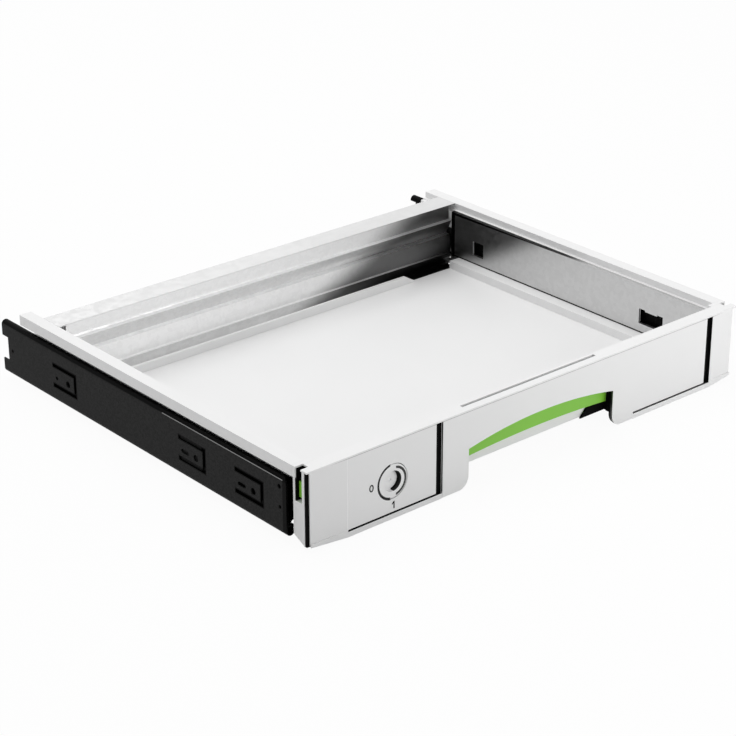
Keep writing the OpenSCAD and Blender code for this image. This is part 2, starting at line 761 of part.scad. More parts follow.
// corner block at each end of the front, with the latch channel and the screws' holes
module corner_block(side) {
  x0 = plate_x + slip;
  guide_low = latch_z - slip;
  guide_top = latch_z + latch_h + slip;
  color(white) on_side(side) difference() {
    union() {
      along_x(x0, block_x - x0) polygon([
        [carrier_back + seat, 0], [carrier_back + seat, cover_top], [front_rim + seat, cover_top],
        [front_rim + seat, case_h], [block_back, case_h], [block_back, 7], [front_rim, 0]]);
      box([block_x - 2, front_rim + seat, case_h - skirt_h], [rim_x, block_back, case_h]);
    }
    latch_channel();
    // room for the channel's liner
    box([channel_x - liner_t - seat, channel_front, case_h - channel_h],
        [block_x + eps, channel_back + liner_t + seat, cover_top + eps]);
    // ways for the latch bar and its tip
    box([x0 - 1, latch_y - slip, guide_low], [channel_x + 1, tip_y + slip, guide_top]);
    // room for the front end of the side plate
    box([x0 - 1, front_rim, flange_z - plate_t - slip],
        [plate_x + plate_flange + slip, block_back + 1, plate_top + seat]);
    for (z = corner_screw_z()) bar_y(corner_screw_x(), 0, z, 1.25 + seat, 20);
  }
}

// carrier plate behind the covers, with the walls of the grip cut-out and the rod's bearings
module front_carrier() {
  grip_side = grip_x + grip_w / 2;
  guard_z = grip_low - 10.7;
  color(black) from_front() difference() {
    union() {
      along_y(carrier_y + seat, carrier_t - seat) difference() {
        front_outline(block_x - 0.2, lip_h - 2.6);
        translate([lock_x, lock_z]) circle(r = lock_pocket_r + 1.2 + slip);
      }
      // side walls of the cut-out
      for (s = [-1, 1]) {
        x = grip_x + s * (grip_w / 2 + wall / 4);
        box([x - wall / 4, carrier_y + seat, grip_foot_r + 2],
            [x + wall / 4, bar_front + 0.2, grip_top - 7.8]);
      }
      // guard at the right end of the grip pocket
      along_y(inner_wall_y - 1.8, 1.5) polygon([
        [grip_side + 1, guard_z], [grip_side - 26, guard_z],
        [grip_side - 19, guard_z + 7], [grip_side + 1, guard_z + 7]]);
      box([grip_side, bar_front, guard_z], [grip_side + 1, inner_wall_y - 0.3, guard_z + 7]);
      // bearings of the pivot rod
      for (s = [0, 1]) translate([grip_x, 0, 0]) mirror([s, 0, 0])
        box([bearing_dx, carrier_back - eps, pivot_z - hub_r + 0.2],
            [bearing_dx + bearing_t, inner_wall_y - 0.2, pivot_z + hub_r + 0.6]);
    }
    bar_x(grip_x - 100, pivot_y, pivot_z, rod_r + 0.02, 200);
    for (s = [-1, 1]) for (z = corner_screw_z()) bar_y(s * corner_screw_x(), 0, z, 2.9, 6);
    for (p = peg_places()) bar_y(p[0], 0, p[1], 1.5 + seat, 6);
  }
}

// the covers' pegs, in X and Z
function peg_places() = concat(main_pegs(), label_pegs(), cap_pegs(-1), cap_pegs(1));
function main_pegs() = [for (x = [main_x + 8, groove2_x - 8]) for (z = [14, 32]) [x, z]];
function label_pegs() = [for (x = [label_x + 6, groove1_x - 6]) for (z = [12, case_h - 8.5]) [x, z]];
function cap_pegs(s) = [for (z = [12, case_h - 8.5]) [s * (plate_x - 4), z]];

module pegs(places) {
  for (p = places) bar_y(p[0], cover_t - 0.2, p[1], 1.5, carrier_t + 1.4);
}

module main_cover() {
  color(white) from_front() {
    along_y(0, cover_t) difference() {
      translate([main_x, 0.3]) square([groove2_x - main_x, cover_top - 0.3]);
      grip_outline(grip_foot_r);
      translate([lip_start_x - seat, -1]) square([far, cover_low + 1]);
    }
    pegs(main_pegs());
  }
}

module label_cover() {
  color(white) from_front() {
    along_y(0, cover_t) difference() {
      translate([label_x, cover_low]) square([label_w, cover_top - cover_low]);
      translate([lock_x, lock_z]) circle(r = lock_r + lock_gap);
    }
    pegs(label_pegs());
  }
}

// end cap with a face that recedes towards the corner
module end_cap(side) {
  in_x = side < 0 ? -label_x + seat : groove2_x + groove_w;
  color(white) {
    on_side(side) translate([0, 0, lip_h + seat]) linear_extrude(height = cover_top - lip_h - seat)
      polygon([[in_x, 0], [cap_x, facet_back], [cap_x, cover_t], [in_x, cover_t]]);
    from_front() pegs(cap_pegs(side));
  }
}

module front_screws() {
  color(bright) for (side = [-1, 1]) on_side(side) for (z = corner_screw_z()) {
    bar_y(corner_screw_x(), carrier_back - 1.5, z, 2.5, 1.5);
    bar_y(corner_screw_x(), carrier_back - eps, z, 1.25, 22);
  }
}

// grip: bar in the cut-out, thin arm plate up to the hubs, ears with the driving pins
module grip_handle() {
  half = grip_w / 2 - slip - 0.2;
  arm_low = grip_low + 2;
  color(green) from_front() difference() {
    union() {
      // bar with its arched edges
      along_y(bar_front, arm_y + arm_t - bar_front) difference() {
        intersection() {
          translate([grip_x - half, 5]) square([2 * half, grip_top]);
          translate([grip_x, grip_top - 2 - grip_arc_r]) circle(r = grip_arc_r, $fn = 360);
        }
        translate([grip_x, grip_low - grip_low_r]) circle(r = grip_low_r, $fn = 720);
      }
      // arm plate
      box([grip_x - half, arm_y, arm_low], [grip_x + half, arm_y + arm_t, pivot_z]);
      for (s = [0, 1]) translate([grip_x, 0, 0]) mirror([s, 0, 0]) {
        // ears above the latch bars' cam plates
        box([half - eps, arm_y, pin_z + 3.8], [hub_end - 0.8, arm_y + arm_t, pivot_z]);
        bar_z(pin_dx, pin_y, pin_z - 1.7, pin_r, 5.6);
        // hubs on the rod
        bar_x(spring_dx + spring_w, pivot_y, pivot_z, hub_r, hub_end - spring_dx - spring_w);
      }
      bar_x(grip_x - spring_dx + spring_w, pivot_y, pivot_z, hub_r, 2 * (spring_dx - spring_w));
    }
    bar_x(grip_x - 100, pivot_y, pivot_z, rod_r + run, 200);
  }
}

module pivot_rod() {
  rod_half = bearing_dx + bearing_t;
  color(bright) from_front() bar_x(grip_x - rod_half, pivot_y, pivot_z, rod_r, 2 * rod_half);
}

// leaf springs between the carrier and the arm plate
module grip_springs() {
  y0 = carrier_back + seat;
  y1 = arm_y - seat;
  top = pivot_z - 4;
  color(bright) from_front() for (s = [-1, 1])
    along_x(grip_x + s * spring_dx - spring_w / 2, spring_w)
      polygon([[y0, top], [y0, top - 5.5], [y1 - spring_t, top - 10], [y1 - 1, top - 11],
               [y1 - 1 + spring_t, top - 11.2], [y1, top - 10], [y0 + spring_t, top - 5.2],
               [y0 + spring_t, top]]);
}

// latch bar: cam plate with a slanted slot, bar and tip
module latch_bar(side) {
  g = side > 0 ? grip_x : -grip_x;
  start = g + latch_start;
  color(green) on_side(side) difference() {
    union() {
      box([g + pin_dx - 2.8, carrier_back + 0.4, pin_z - cam_plate_t / 2],
          [start + 7, inner_wall_y - 0.2, pin_z + cam_plate_t / 2]);
      box([start, latch_y, pin_z - cam_plate_t / 2], [start + 7, latch_y + latch_t, latch_z + eps]);
      box([start, latch_y, latch_z], [channel_x + latch_out, latch_y + latch_t, latch_z + latch_h]);
      box([channel_x + latch_out - tip_len, latch_y, latch_z],
          [channel_x + latch_out, tip_y, latch_z + latch_h]);
    }
    // slanted slot that the grip's pin draws along
    for (t = [0, 1]) bar_z(g + pin_dx + t * pin_travel, pin_y - t * pin_travel,
                           pin_z - 3, pin_r + slip, 6);
    translate([g + pin_dx, pin_y, pin_z - 3]) rotate([0, 0, -45])
      translate([0, -pin_r - slip, 0]) cube([pin_travel * sqrt(2), 2 * (pin_r + slip), 6]);
  }
}

// lock: face with its pocket and cup, turning in the label cover
module lock_barrel() {
  color(white) from_front() difference() {
    union() {
      bar_y(lock_x, 0.2, lock_z, lock_r, cover_t - 0.2 - seat);
      bar_y(lock_x, cover_t - 0.5, lock_z, lock_pocket_r + 1.2, cam_y - seat - cover_t + 0.5);
    }
    bar_y(lock_x, -1, lock_z, lock_pocket_r, carrier_y + 2.3);
    bar_y(lock_x, 0, lock_z, 1.25, 10);
  }
}

// cam behind the lock; it lies to the left when the lock is open and hangs down when it is shut
module lock_cam() {
  color(bright) from_front() difference() {
    union() {
      bar_y(lock_x, cam_y, lock_z, 6, cam_t);
      box([lock_x - cam_len, cam_y, lock_z - cam_w / 2], [lock_x, cam_y + cam_t, lock_z + cam_w / 2]);
    }
    bar_y(lock_x, 0, lock_z, 1.6, 10);
  }
}

module cam_screw() {
  color(bright) from_front() {
    bar_y(lock_x, cam_y + cam_t + seat, lock_z, 2.8, 1.6);
    bar_y(lock_x, carrier_y + 1.6, lock_z, 1.2, cam_y + cam_t + seat - carrier_y - 1.5);
  }
}

cabinet_member(-1);  // cabinet_member_left
cabinet_member(1);  // cabinet_member_right
closing_bumpers();
outer_cage(-1);  // outer_cage_left
outer_cage(1);  // outer_cage_right
outer_balls(-1);  // outer_balls_left
outer_balls(1);  // outer_balls_right
middle_member(-1);  // middle_member_left
middle_member(1);  // middle_member_right
inner_cage(-1);  // inner_cage_left
inner_cage(1);  // inner_cage_right
inner_balls(-1);  // inner_balls_left
inner_balls(1);  // inner_balls_right
drawer_member(-1);  // drawer_member_left
drawer_member(1);  // drawer_member_right
slide_screws();
tray();
tray_screws();
rim(-1);  // rim_left
rim(1);  // rim_right
side_plate(-1);  // side_plate_left
side_plate(1);  // side_plate_right
rear_wall();
rear_wall_screws();
front_frame();
corner_block(-1);  // corner_block_left
corner_block(1);  // corner_block_right
channel_liner(-1);  // channel_liner_left
channel_liner(1);  // channel_liner_right
front_carrier();
front_screws();
main_cover();
label_cover();
end_cap(-1);  // end_cap_left
end_cap(1);  // end_cap_right
grip_handle();
pivot_rod();
grip_springs();
latch_bar(-1);  // latch_bar_left
latch_bar(1);  // latch_bar_right
lock_barrel();
lock_cam();
cam_screw();
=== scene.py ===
# %% [markdown]
# # A pull-out drawer case with ball slides
# The real drawer is a white moulded front, rims and tray between two galvanised side
# plates, and it hangs on black steel slides. Nearly every solid comes from the imported CAD
# model, so this lesson is mostly about finishes: fine moulded grain, zinc spangle, black
# plating, painted shade in thin gaps and corners, a few painted highlights, and the soft
# studio light that shows them.

# %% Load the frame
import json
import math

import bmesh
import bpy
from mathutils import Matrix, Vector


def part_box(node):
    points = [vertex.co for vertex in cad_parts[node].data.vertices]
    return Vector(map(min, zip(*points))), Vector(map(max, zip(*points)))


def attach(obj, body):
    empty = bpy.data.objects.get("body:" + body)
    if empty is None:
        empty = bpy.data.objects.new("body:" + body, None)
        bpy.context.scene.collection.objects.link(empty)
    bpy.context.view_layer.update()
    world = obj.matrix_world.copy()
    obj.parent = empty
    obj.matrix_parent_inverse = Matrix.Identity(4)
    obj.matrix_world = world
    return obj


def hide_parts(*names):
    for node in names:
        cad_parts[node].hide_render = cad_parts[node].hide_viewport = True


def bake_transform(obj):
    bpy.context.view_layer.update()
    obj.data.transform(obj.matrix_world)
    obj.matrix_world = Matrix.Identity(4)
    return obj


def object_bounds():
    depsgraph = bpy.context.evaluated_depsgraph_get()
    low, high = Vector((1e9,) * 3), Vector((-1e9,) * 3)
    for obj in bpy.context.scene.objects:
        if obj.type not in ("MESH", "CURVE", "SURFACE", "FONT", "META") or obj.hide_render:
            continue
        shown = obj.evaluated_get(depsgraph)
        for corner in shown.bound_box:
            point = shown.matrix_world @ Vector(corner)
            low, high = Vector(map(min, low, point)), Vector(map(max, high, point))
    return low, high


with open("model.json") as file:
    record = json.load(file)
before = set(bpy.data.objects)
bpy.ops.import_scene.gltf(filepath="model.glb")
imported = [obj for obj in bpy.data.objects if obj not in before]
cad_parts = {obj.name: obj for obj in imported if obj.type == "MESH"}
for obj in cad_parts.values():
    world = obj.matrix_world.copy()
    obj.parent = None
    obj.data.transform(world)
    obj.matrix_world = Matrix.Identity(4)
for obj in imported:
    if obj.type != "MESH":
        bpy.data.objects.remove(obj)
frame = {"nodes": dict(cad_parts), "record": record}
nodes = frame["nodes"]
cad_low, cad_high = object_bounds()
MM = 0.001
front_y = cad_low.y
print("CAD box in mm:", [round(s / MM, 1) for s in cad_high - cad_low])

# %% [markdown]
# ## Millimetres from the front
# A drawing of a drawer gives millimetres, and counts the depth from the face of its front.
# The frame counts in metres from the middle. The sizes could be converted by hand, but one
# helper does it without slips, and every size below reads as on a drawing.


# %% Helpers: a place, and an object in the scene
def from_front(x_mm, y_mm, z_mm):
    """A place across, deep and high in mm, as a place in the frame's metres."""
    return Vector((x_mm, y_mm, z_mm)) * MM + Vector((0, front_y, 0))


def new_object(name, data):
    """An object in the scene that shows a mesh, a camera or a lamp."""
    made = bpy.data.objects.new(name, data)
    bpy.context.scene.collection.objects.link(made)
    return made


# %% [markdown]
# ## Camera
# The photograph was taken with a long lens from the front left and above. A long lens keeps
# the drawer's long edges nearly parallel. A constraint could aim the camera at a point, but
# gives it no roll. So it stands at a measured place, and its three axes are worked out from
# its heading, its tilt and a very small roll.

# %% Camera
LENS, SENSOR = 106.93, 36.0
NEAREST, FARTHEST = 0.05, 20
CAMERA_PLACE = from_front(-1039.5, -1020.5, 741.3)
HEADING, TILT, ROLL = (math.radians(a) for a in (40.59, 24.67, 0.12))


def camera_axes(heading, tilt, roll):
    """Right, up and backward axes of a camera that looks along +Y and is then turned."""
    ahead = Vector((math.sin(heading) * math.cos(tilt),
                    math.cos(heading) * math.cos(tilt), -math.sin(tilt)))
    level = Vector((math.cos(heading), -math.sin(heading), 0))
    down = ahead.cross(level)
    right = level * math.cos(roll) + down * math.sin(roll)
    up = level * math.sin(roll) - down * math.cos(roll)
    return Matrix((right, up, -ahead)).transposed()


camera = new_object("camera", bpy.data.cameras.new("camera"))
camera.data.lens, camera.data.sensor_width = LENS, SENSOR
camera.data.clip_start, camera.data.clip_end = NEAREST, FARTHEST
camera.matrix_world = camera_axes(HEADING, TILT, ROLL).to_4x4()
camera.location = CAMERA_PLACE
bpy.context.scene.camera = camera
camera_distance = (CAMERA_PLACE - (cad_low + cad_high) / 2).length
print("camera stands", round(camera_distance, 2), "m from the drawer")

# %% [markdown]
# ## Lower corners of the front
# On the real front the underside sweeps up towards both ends, so the lip closes to a wedge
# under the end caps and meets them. The CAD solids are square there. A lattice could bend
# them, but it would bend the faces beside the sweep as well. A CAD mesh is never changed, so
# a copy is cut where the sweep begins, its lower points are lifted by a rule, and the copy
# takes the node's place. The carrier's right end is drawn in a little, because its black
# shows only at the left corner.

# %% Sizes of the sweep, in mm
# Places across the width: where the sweep starts on the left and on the right, and its end.
LABEL_EDGE, RIGHT_CAP_EDGE, CAP_EDGE = -183.4, 191.7, 216.5
# Only points further out than ENDS_FROM are lifted, and cuts stand STEP apart.
ENDS_FROM, STEP, TOUCH = 150, 0.2, 0.1
LIP_TOP, LIP_ROUND, LIP_DEPTH = 4.3, 0.3, 1.5
# Heights of the end caps' lower edge and of the sweep at its end.
CAP_LOW, SWEEP_HIGH = 5.75, 3.4
# The foot of the carrier or of a block is what lies lower than this.
CARRIER_FOOT, CARRIER_GAP, CARRIER_IN = 5, 0.2, 0.5
BLOCK_FOOT, BLOCK_REACH = 7.5, 17
BLOCK_FRONT, BLOCK_BACK, BLOCK_BACK_LOW = 3.9, 16.0, 9.5
print("the underside rises", SWEEP_HIGH, "mm towards each end")


# %% Helpers: the sweep's height, and a lifted copy of a node
def sweep_height(x_mm):
    """How far the underside lies above the floor at a place across the width."""
    start = LABEL_EDGE if x_mm < 0 else RIGHT_CAP_EDGE
    share = (abs(x_mm) - abs(start)) / (CAP_EDGE - abs(start))
    return SWEEP_HIGH * min(max(share, 0.0), 1.0)


def reshaped(name, cuts_mm, lift):
    """Copies a node's mesh, cuts it at places across the width, and moves its points."""
    piece = new_object(name + "_shaped", nodes[name].data.copy())
    work = bmesh.new()
    work.from_mesh(piece.data)
    for x_mm in cuts_mm:
        bmesh.ops.bisect_plane(work, geom=work.verts[:] + work.edges[:] + work.faces[:],
                               plane_co=(x_mm * MM, 0, 0), plane_no=(1, 0, 0))
    for vert in work.verts:
        place = (vert.co.x / MM, (vert.co.y - front_y) / MM, vert.co.z / MM)
        vert.co = from_front(*lift(*place))
    bmesh.ops.recalc_face_normals(work, faces=work.faces)
    work.to_mesh(piece.data)
    work.free()
    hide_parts(name)
    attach(piece, "drawer")
    return piece


# %% Rules for the points of the lip, the carrier and the corner blocks
def lift_lip(x, y, z):
    """The lip's foot follows the sweep, and its top meets the end caps."""
    if y < LIP_DEPTH and z < LIP_TOP + TOUCH and abs(x) > ENDS_FROM:
        under_cap = x < LABEL_EDGE - STEP / 2 or x > RIGHT_CAP_EDGE + STEP / 2
        z = CAP_LOW if under_cap and z > LIP_TOP - LIP_ROUND else max(z, sweep_height(x))
    return x, y, z


def lift_carrier(x, y, z):
    """The carrier's foot stays a little above the lip's, and its right end is drawn in."""
    if z < CARRIER_FOOT and abs(x) > ENDS_FROM:
        z = max(z, sweep_height(x) + CARRIER_GAP)
    return min(x, CAP_EDGE - CARRIER_IN), y, z


def lift_block(x, y, z):
    """A block's foot starts at the top of the sweep and rises further towards the back."""
    if z < BLOCK_FOOT and y < BLOCK_REACH:
        share = (y - BLOCK_FRONT) / (BLOCK_BACK - BLOCK_FRONT)
        z = max(z, SWEEP_HIGH + share * (BLOCK_BACK_LOW - SWEEP_HIGH))
    return x, y, z


# %% Lifted copies in place of their nodes
shown = dict(nodes)
shown["front_frame"] = reshaped("front_frame", [
    LABEL_EDGE, LABEL_EDGE - STEP, RIGHT_CAP_EDGE, RIGHT_CAP_EDGE + STEP], lift_lip)
shown["front_carrier"] = reshaped("front_carrier", [LABEL_EDGE, RIGHT_CAP_EDGE], lift_carrier)
for block in ("corner_block_left", "corner_block_right"):
    shown[block] = reshaped(block, [], lift_block)
print("reshaped:", [piece.name for name, piece in shown.items() if piece is not nodes[name]])

# %% [markdown]
# ## Springs behind the front
# Two leaf springs hang behind the front and press on the grip. When the grip is pulled, their
# free ends go with it. Here a copy of the springs, with its place baked into the mesh, takes
# the node's place.

# %% Copied springs
springs = new_object("grip_springs_bending", nodes["grip_springs"].data.copy())
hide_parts("grip_springs")
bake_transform(springs)
shown["grip_springs"] = springs

# %% [markdown]
# ## Helpers for node trees
# A material or a group is a small graph. It could be drawn by hand in the shader editor. In
# a script these helpers add one node with its settings, join sockets, and make a group with
# named sockets, so that each recipe below reads as a list.


# %% Helpers: one node, and a group
def add(tree, kind, inputs=None, **settings):
    """Adds a node, sets its properties, then its inputs: a value, or a socket to link from."""
    made = tree.nodes.new(kind)
    for name, value in settings.items():
        setattr(made, name, value)
    for name, value in (inputs or {}).items():
        if isinstance(value, bpy.types.NodeSocket):
            tree.links.new(value, made.inputs[name])
        else:
            made.inputs[name].default_value = value
    return made


def new_group(name, inputs, outputs):
    """A shader group and its given sockets, from (name, kind, default) and (name, kind)."""
    tree = bpy.data.node_groups.new(name, "ShaderNodeTree")
    for label, kind, default in inputs:
        socket = tree.interface.new_socket(label, in_out="INPUT", socket_type=kind)
        socket.default_value = default
    for label, kind in outputs:
        tree.interface.new_socket(label, in_out="OUTPUT", socket_type=kind)
    return tree, add(tree, "NodeGroupInput").outputs


# %% Helpers: sums, mixes and ramps
def maths(tree, operation, first, second, **settings):
    """The result of a Math node on two values or sockets."""
    return add(tree, "ShaderNodeMath", {0: first, 1: second},
               operation=operation, **settings).outputs[0]


def vector_maths(tree, operation, first, second=None):
    """The result of a Vector Math node, a single value for a length or a dot product."""
    inputs = {0: first} if second is None else {0: first, 1: second}
    outputs = add(tree, "ShaderNodeVectorMath", inputs, operation=operation).outputs
    return outputs["Value" if operation in ("LENGTH", "DOT_PRODUCT") else "Vector"]


def mix_colour(tree, share, low, high, blend="MIX"):
    """The colour output of a Mix node between two colours or colour sockets."""
    share_socket, low_socket, high_socket, result = 0, 6, 7, 2
    return add(tree, "ShaderNodeMix", {share_socket: share, low_socket: low, high_socket: high},
               data_type="RGBA", blend_type=blend).outputs[result]


def ramp(tree, value, low, high, to_low=0.0, to_high=1.0):
    """Maps a value's range low to high onto to_low to to_high, smoothly."""
    return add(tree, "ShaderNodeMapRange", {
        "Value": value, "From Min": low, "From Max": high, "To Min": to_low, "To Max": to_high,
    }, interpolation_type="SMOOTHSTEP").outputs["Result"]


def object_place(tree):
    """The point's own place in the piece, in metres."""
    return add(tree, "ShaderNodeTexCoord").outputs["Object"]


def grey(level):
    return (level, level, level, 1.0)


FLOAT, COLOUR, VECTOR = "NodeSocketFloat", "NodeSocketColor", "NodeSocketVector"
SURFACE = [("Colour", COLOUR), ("Roughness", FLOAT), ("Height", FLOAT)]
MASK = [("Mask", FLOAT)]

# %% [markdown]
# ## Moulded grain
# Moulded housings aren't smooth: the mould is spark eroded, which leaves a fine even
# grain, and slight flow marks change the shade over some centimetres. An image texture
# would need a layout for each piece. Noise in object space needs none, and runs on
# unbroken from piece to piece, so this group uses two sizes of noise.

# %% Group: moulded grain
FLOW_PER_M, FLOW_RANGE, FLOW_SHADE = 9.0, (0.3, 0.7), grey(0.35)
GRAIN_RANGE, GRAIN_SPREAD = (0.35, 0.65), 0.05


def moulded_grain():
    """Fine grain in roughness and height, and slow flow marks in the colour."""
    tree, given = new_group(
        "moulded_grain",
        [("Colour", COLOUR, grey(0.8)), ("Grain per mm", FLOAT, 1.4), ("Mottle", FLOAT, 0.03),
         ("Roughness", FLOAT, 0.45)], SURFACE)
    place = object_place(tree)
    fine = add(tree, "ShaderNodeTexNoise", {
        "Vector": place, "Scale": maths(tree, "MULTIPLY", given["Grain per mm"], 1 / MM),
        "Detail": 2.0, "Roughness": 0.6}).outputs["Fac"]
    flow = add(tree, "ShaderNodeTexNoise", {
        "Vector": place, "Scale": FLOW_PER_M, "Detail": 3.0, "Distortion": 0.6}).outputs["Fac"]
    darker = mix_colour(tree, given["Mottle"], given["Colour"], FLOW_SHADE, "MULTIPLY")
    spread = ramp(tree, fine, *GRAIN_RANGE, -GRAIN_SPREAD, GRAIN_SPREAD)
    add(tree, "NodeGroupOutput", {
        "Colour": mix_colour(tree, ramp(tree, flow, *FLOW_RANGE), darker, given["Colour"]),
        "Roughness": maths(tree, "ADD", given["Roughness"], spread), "Height": fine})
    return tree


GRAIN = moulded_grain()
print("group:", GRAIN.name)

# %% [markdown]
# ## Zinc spangle
# Hot-dip galvanised sheet shows flat crystals some millimetres across, each with its own
# shade, and fine lines along the way the sheet was rolled. A photograph of zinc could be laid
# on, but would repeat. Voronoi cells give crystals that never do, a little noise bends their
# edges, and a stretched noise gives the lines.

# %% Group: zinc spangle
BEND_PER_M, BEND = 220.0, 4 * MM
ROLLED_PER_M = (60.0, 60.0, 2600.0)
TONE_RANGE, CRYSTAL_SHADE, CRYSTAL_SPREAD = (0.5, 1.5), grey(0.12), 0.06


def zinc_spangle():
    """Crystals and rolling lines in colour, roughness and height."""
    tree, given = new_group(
        "zinc_spangle",
        [("Colour", COLOUR, grey(0.6)), ("Crystal per m", FLOAT, 260.0), ("Contrast", FLOAT, 0.2),
         ("Roughness", FLOAT, 0.35)], SURFACE)
    place = object_place(tree)
    warp = add(tree, "ShaderNodeTexNoise", {"Vector": place, "Scale": BEND_PER_M, "Detail": 2.0})
    bent = add(tree, "ShaderNodeVectorMath", {
        0: warp.outputs["Color"], "Scale": BEND}, operation="SCALE").outputs[0]
    crystal = add(tree, "ShaderNodeTexVoronoi", {
        "Vector": vector_maths(tree, "ADD", place, bent), "Scale": given["Crystal per m"]},
        feature="F1")
    own_tone = add(tree, "ShaderNodeSeparateColor", {"Color": crystal.outputs["Color"]})
    rolled = add(tree, "ShaderNodeMapping", {"Vector": place, "Scale": ROLLED_PER_M})
    lines = add(tree, "ShaderNodeTexNoise", {
        "Vector": rolled.outputs[0], "Scale": 1.0, "Detail": 2.0})
    tone = maths(tree, "ADD", own_tone.outputs["Red"], lines.outputs["Fac"])
    dark = mix_colour(tree, given["Contrast"], given["Colour"], CRYSTAL_SHADE)
    spread = ramp(tree, tone, *TONE_RANGE, CRYSTAL_SPREAD, -CRYSTAL_SPREAD)
    add(tree, "NodeGroupOutput", {
        "Colour": mix_colour(tree, ramp(tree, tone, *TONE_RANGE), dark, given["Colour"]),
        "Roughness": maths(tree, "ADD", given["Roughness"], spread), "Height": tone})
    return tree


SPANGLE = zinc_spangle()
print("group:", SPANGLE.name)

# %% [markdown]
# ## Masks by place
# Three kinds of painted light depend on where a point lies on the piece, not on its material:
# painted shade in the gaps round the lock, painted shade and highlights along straight gaps and
# edges elsewhere, and a soft slanted painted shade in the rear right corner. Painting would need
# a texture for each piece. A mask worked out from the point's own coordinates needs none and
# moves with the piece.


# %% Group: ring mask
def ring_mask():
    """1 on a ring round an axis along the depth, 0 elsewhere; all lengths in metres."""
    tree, given = new_group(
        "ring_mask",
        [("Centre X", FLOAT, 0.0), ("Centre Z", FLOAT, 0.0), ("Inner radius", FLOAT, 0.01),
         ("Outer radius", FLOAT, 0.011), ("From X", FLOAT, -1.0), ("To X", FLOAT, 1.0)], MASK)
    place = add(tree, "ShaderNodeSeparateXYZ", {0: object_place(tree)}).outputs
    across = maths(tree, "SUBTRACT", place["X"], given["Centre X"])
    height = maths(tree, "SUBTRACT", place["Z"], given["Centre Z"])
    flat = add(tree, "ShaderNodeCombineXYZ", {"X": across, "Z": height}).outputs[0]
    radius = vector_maths(tree, "LENGTH", flat)
    mask = 1.0
    for value, test, limit in (
            (radius, "GREATER_THAN", "Inner radius"), (radius, "LESS_THAN", "Outer radius"),
            (across, "GREATER_THAN", "From X"), (across, "LESS_THAN", "To X")):
        mask = maths(tree, "MULTIPLY", maths(tree, test, value, given[limit]), mask)
    add(tree, "NodeGroupOutput", {"Mask": mask})
    return tree


# %% Group: slanted mask
# A face looks that way when the product of its direction and Facing is over this.
FACES_IT = 0.4


def slanted_mask():
    """Rises softly from 0 to 1 along a direction, on the faces that look one way."""
    tree, given = new_group(
        "slanted_mask",
        [("Direction", VECTOR, (1.0, 0.0, 0.0)), ("Facing", VECTOR, (0.0, -1.0, 0.0)),
         ("Start", FLOAT, 0.0), ("End", FLOAT, 0.1)], MASK)
    point = add(tree, "ShaderNodeTexCoord").outputs
    along = vector_maths(tree, "DOT_PRODUCT", point["Object"], given["Direction"])
    turned = vector_maths(tree, "DOT_PRODUCT", point["Normal"], given["Facing"])
    share = ramp(tree, along, given["Start"], given["End"])
    facing = maths(tree, "GREATER_THAN", turned, FACES_IT)
    add(tree, "NodeGroupOutput", {"Mask": maths(tree, "MULTIPLY", share, facing)})
    return tree


# %% Group: box mask
def box_mask():
    """1 inside a box, 0 outside; its centre and half size are in metres."""
    tree, given = new_group("box_mask", [
        ("Centre", VECTOR, (0.0, 0.0, 0.0)), ("Half size", VECTOR, (0.01, 0.01, 0.01))], MASK)
    away = vector_maths(tree, "SUBTRACT", object_place(tree), given["Centre"])
    over = vector_maths(tree, "SUBTRACT", vector_maths(tree, "ABSOLUTE", away), given["Half size"])
    parts = add(tree, "ShaderNodeSeparateXYZ", {0: over}).outputs
    most = maths(tree, "MAXIMUM", maths(tree, "MAXIMUM", parts["X"], parts["Y"]), parts["Z"])
    add(tree, "NodeGroupOutput", {"Mask": maths(tree, "LESS_THAN", most, 0.0)})
    return tree


RING, SLANT, BOX = ring_mask(), slanted_mask(), box_mask()
print("masks:", [group.name for group in (RING, SLANT, BOX)])

# %% [markdown]
# ## Materials
# Each finish is a Principled shader fed by one of the groups. Values that are the same all
# over, such as the reflection strength, sit on the shader's own sockets. Only what changes
# over the surface comes through the group.

# %% Material helper
BUMP_DEPTH = 0.2 * MM


def finish(name, group, values, bump, darkened=(), **shader_values):
    """A material whose colour, roughness and bump come from a group with its own values.

    darkened lists masks laid over the colour, each a group, its values and the new colour.
    """
    made = bpy.data.materials.new(name)
    made.use_nodes = True
    tree = made.node_tree
    tree.nodes.clear()
    detail = add(tree, "ShaderNodeGroup", values, node_tree=group).outputs
    colour = detail["Colour"]
    for mask_group, mask_values, dark in darkened:
        mask = add(tree, "ShaderNodeGroup", mask_values, node_tree=mask_group)
        colour = mix_colour(tree, mask.outputs["Mask"], colour, dark)
    relief = add(tree, "ShaderNodeBump", {
        "Strength": bump, "Distance": BUMP_DEPTH, "Height": detail["Height"]})
    shader = add(tree, "ShaderNodeBsdfPrincipled", {
        "Base Color": colour, "Roughness": detail["Roughness"],
        "Normal": relief.outputs["Normal"], **shader_values})
    add(tree, "ShaderNodeOutputMaterial", {"Surface": shader.outputs["BSDF"]})
    made.diffuse_color = values["Colour"]
    return made


